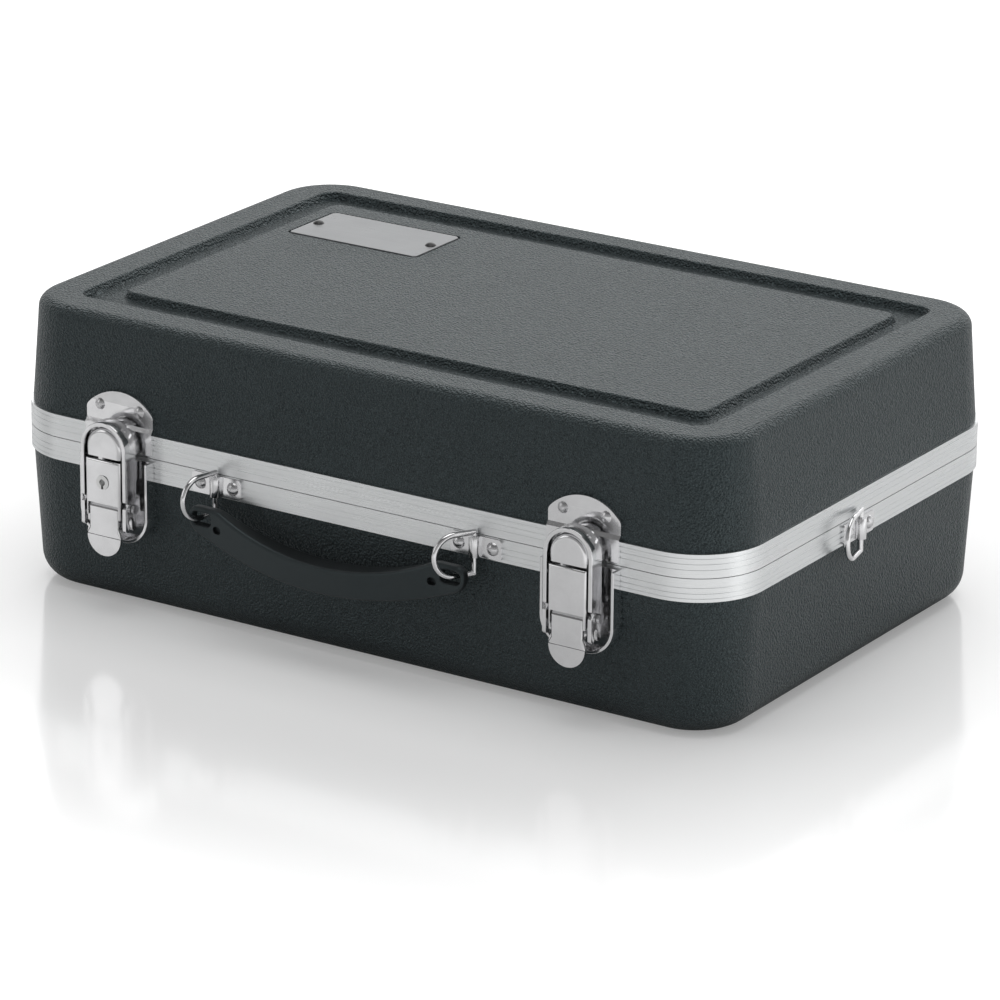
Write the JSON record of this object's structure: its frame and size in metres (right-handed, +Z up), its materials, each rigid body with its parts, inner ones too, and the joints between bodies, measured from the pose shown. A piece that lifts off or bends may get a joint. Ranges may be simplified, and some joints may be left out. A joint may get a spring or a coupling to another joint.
{
  "type": "clarinet case",
  "caption": "Rectangular moulded clarinet case with a hinged lid, metal rims, loop latches, a swinging handle, strap rings and a pocketed lining.",
  "frame": {"origin": "centre of the flat underside, on the surface the case lies on", "axes": "+X along the length, to the right seen from the latch side; -Y out of the latch side; +Z up, through the lid"},
  "size_m": [0.3842, 0.2674, 0.1325],
  "materials": {
    "shell_plastic": "pebbled, satin dark grey-green",
    "valance_aluminium": "satin drawn, fine grooves",
    "plush": "short plush over moulded foam",
    "plate_aluminium": "brushed, bare",
    "dark_rivet": "dark domed",
    "chrome_plate": "bright nickel-chrome plate",
    "steel_pin": "nickelled steel",
    "hinge_steel": "nickelled steel",
    "lock_metal": "plated",
    "handle_plastic": "satin black moulding"
  },
  "bodies": {
    "base": {"base_shell": "shell_plastic", "base_valance": "valance_aluminium", "base_valance_splice": "valance_aluminium", "base_insert": "plush", "latch_pan_left": "chrome_plate", "latch_pan_right": "chrome_plate", "lever_pin_left": "steel_pin", "lever_pin_right": "steel_pin", "front_bracket_left": "chrome_plate", "front_bracket_right": "chrome_plate", "side_bracket_left": "chrome_plate", "side_bracket_right": "chrome_plate", "hinge_lower_left": "hinge_steel", "hinge_lower_right": "hinge_steel", "hinge_pin_left": "steel_pin", "hinge_pin_right": "steel_pin", "pan_rivets": "steel_pin", "front_bracket_rivets": "steel_pin", "side_bracket_rivets": "steel_pin", "hinge_rivets_lower": "steel_pin"},
    "lid": {"lid_shell": "shell_plastic", "lid_valance": "valance_aluminium", "lid_valance_splice": "valance_aluminium", "lid_pad": "plush", "name_plate": "plate_aluminium", "name_plate_rivets": "dark_rivet", "catch_plate_left": "chrome_plate", "catch_plate_right": "chrome_plate", "catch_rivets": "steel_pin", "hinge_upper_left": "hinge_steel", "hinge_upper_right": "hinge_steel", "hinge_rivets_upper": "steel_pin"},
    "lever_left": {"lever_left": "chrome_plate", "loop_pins_left": "steel_pin", "tab_pin_left": "steel_pin"},
    "loop_left": {"loop_left": "chrome_plate"},
    "tab_left": {"tab_left": "chrome_plate"},
    "lever_right": {"lever_right": "chrome_plate", "loop_pins_right": "steel_pin", "tab_pin_right": "steel_pin"},
    "loop_right": {"loop_right": "chrome_plate"},
    "tab_right": {"tab_right": "chrome_plate"},
    "lock": {"lock_cylinder": "lock_metal", "lock_cam": "lock_metal"},
    "handle": {"handle_grip": "handle_plastic"},
    "ring_front_left": {"front_ring_left": "chrome_plate"},
    "ring_side_left": {"side_ring_left": "chrome_plate"},
    "ring_front_right": {"front_ring_right": "chrome_plate"},
    "ring_side_right": {"side_ring_right": "chrome_plate"}
  },
  "joints": [
    {"name": "lid_hinge", "type": "hinge", "parent": "base", "child": "lid", "pos_m": [0, 0.1232, 0.0725], "axis": [-1, 0, 0], "range_deg": [0, 95]},
    {"name": "lever_left_pivot", "type": "hinge", "parent": "base", "child": "lever_left", "pos_m": [-0.1202, -0.1295, 0.0675], "axis": [-1, 0, 0], "range_deg": [0, 100]},
    {"name": "loop_left_pivot", "type": "hinge", "parent": "lever_left", "child": "loop_left", "pos_m": [-0.1202, -0.1275, 0.0505], "axis": [-1, 0, 0], "range_deg": [-100, 0]},
    {"name": "tab_left_pivot", "type": "hinge", "parent": "lever_left", "child": "tab_left", "pos_m": [-0.1202, -0.13, 0.0522], "axis": [-1, 0, 0], "range_deg": [0, 25], "stiffness_Nm_per_rad": 0.05},
    {"name": "lever_right_pivot", "type": "hinge", "parent": "base", "child": "lever_right", "pos_m": [0.118, -0.1295, 0.0675], "axis": [-1, 0, 0], "range_deg": [0, 100]},
    {"name": "loop_right_pivot", "type": "hinge", "parent": "lever_right", "child": "loop_right", "pos_m": [0.118, -0.1275, 0.0505], "axis": [-1, 0, 0], "range_deg": [-100, 0]},
    {"name": "tab_right_pivot", "type": "hinge", "parent": "lever_right", "child": "tab_right", "pos_m": [0.118, -0.13, 0.0522], "axis": [-1, 0, 0], "range_deg": [0, 25], "stiffness_Nm_per_rad": 0.05},
    {"name": "lock_turn", "type": "hinge", "parent": "lever_left", "child": "lock", "pos_m": [-0.1202, -0.1315, 0.062], "axis": [0, 1, 0], "range_deg": [0, 90]},
    {"name": "handle_swing", "type": "hinge", "parent": "base", "child": "handle", "pos_m": [0, -0.1295, 0.0645], "axis": [-1, 0, 0], "range_deg": [0, 90]},
    {"name": "front_ring_left_pivot", "type": "hinge", "parent": "base", "child": "ring_front_left", "pos_m": [-0.068, -0.122, 0.0645], "axis": [0, 0, 1], "range_deg": [-2, 2]},
    {"name": "front_ring_right_pivot", "type": "hinge", "parent": "base", "child": "ring_front_right", "pos_m": [0.0653, -0.122, 0.0645], "axis": [0, 0, 1], "range_deg": [-2, 2]},
    {"name": "side_ring_left_pivot", "type": "hinge", "parent": "base", "child": "ring_side_left", "pos_m": [-0.187, -0.01, 0.0659], "axis": [0, 0, -1], "range_deg": [-10, 150]},
    {"name": "side_ring_right_pivot", "type": "hinge", "parent": "base", "child": "ring_side_right", "pos_m": [0.187, -0.01, 0.0659], "axis": [0, 0, 1], "range_deg": [-10, 150]}
  ],
  "couplings": [
    {"joint": "loop_left_pivot", "follows": "lever_left_pivot", "ratio": -1},
    {"joint": "loop_right_pivot", "follows": "lever_right_pivot", "ratio": -1}
  ]
}
